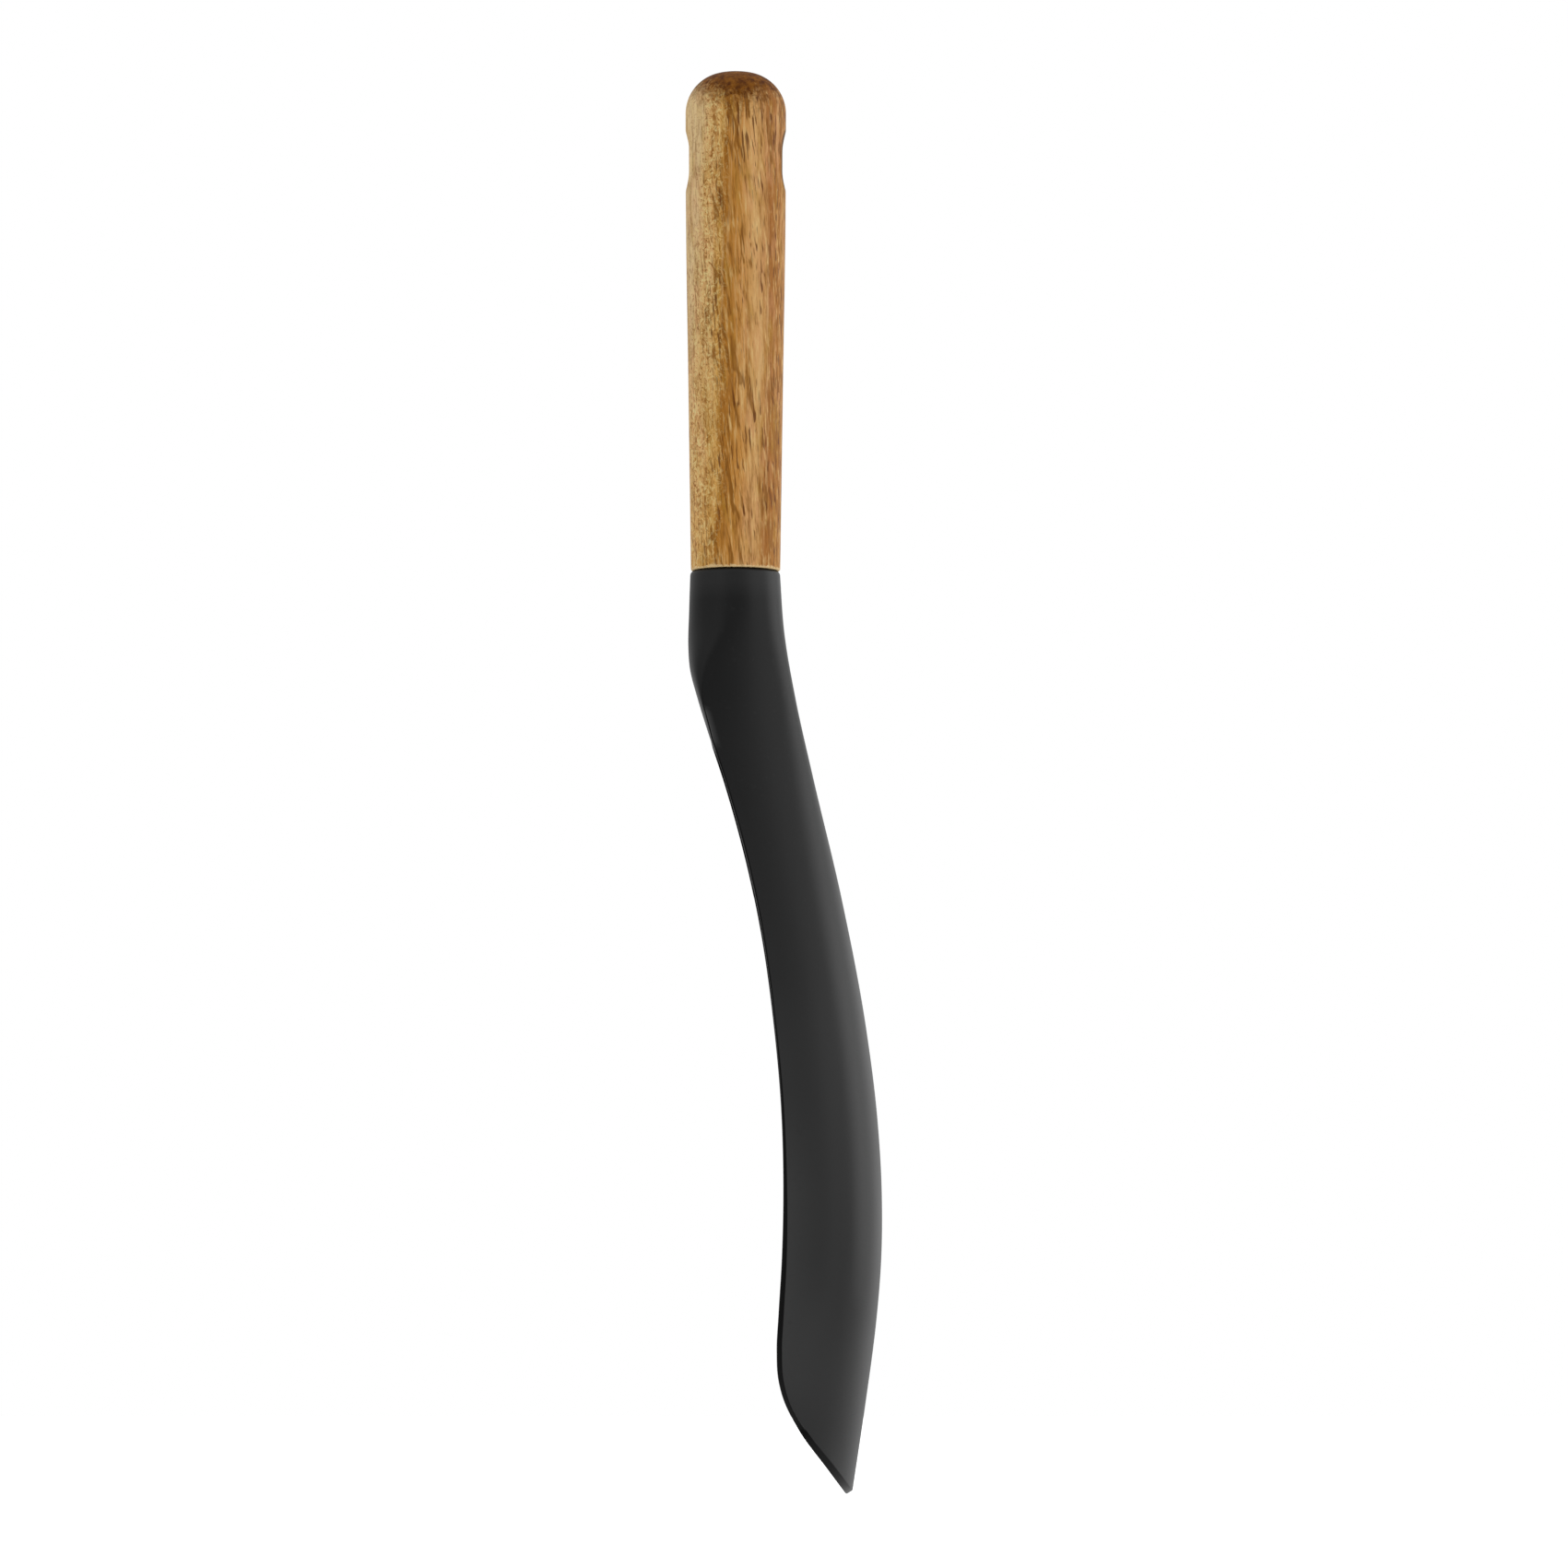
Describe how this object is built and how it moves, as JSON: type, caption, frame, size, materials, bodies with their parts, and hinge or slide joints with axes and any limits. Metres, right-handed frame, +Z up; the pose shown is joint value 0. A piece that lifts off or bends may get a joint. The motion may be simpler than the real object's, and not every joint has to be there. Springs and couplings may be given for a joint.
{
  "type": "cooking spoon",
  "caption": "Deep serving spoon with a one-piece black silicone bowl and neck on a turned wooden handle, with a slot in the handle's end for hanging it up.",
  "frame": {"origin": "centre of the hanging slot, on the handle's axis", "axes": "+Z up the handle towards its domed end, +X towards the spoon's back (the bulging side of the bowl), +Y across the bowl; the spoon is symmetric about the XZ plane"},
  "size_m": [0.0428, 0.0626, 0.3103],
  "materials": {
    "acacia": "oiled",
    "black_silicone": "matt",
    "glass_filled_nylon": "moulded",
    "stainless_rod": "drawn",
    "epoxy": "cured"
  },
  "bodies": {
    "root": {"wooden_handle": "acacia", "silicone_head": "black_silicone", "nylon_core": "glass_filled_nylon", "tang_rod": "stainless_rod", "bond_sleeve": "epoxy"}
  },
  "joints": []
}
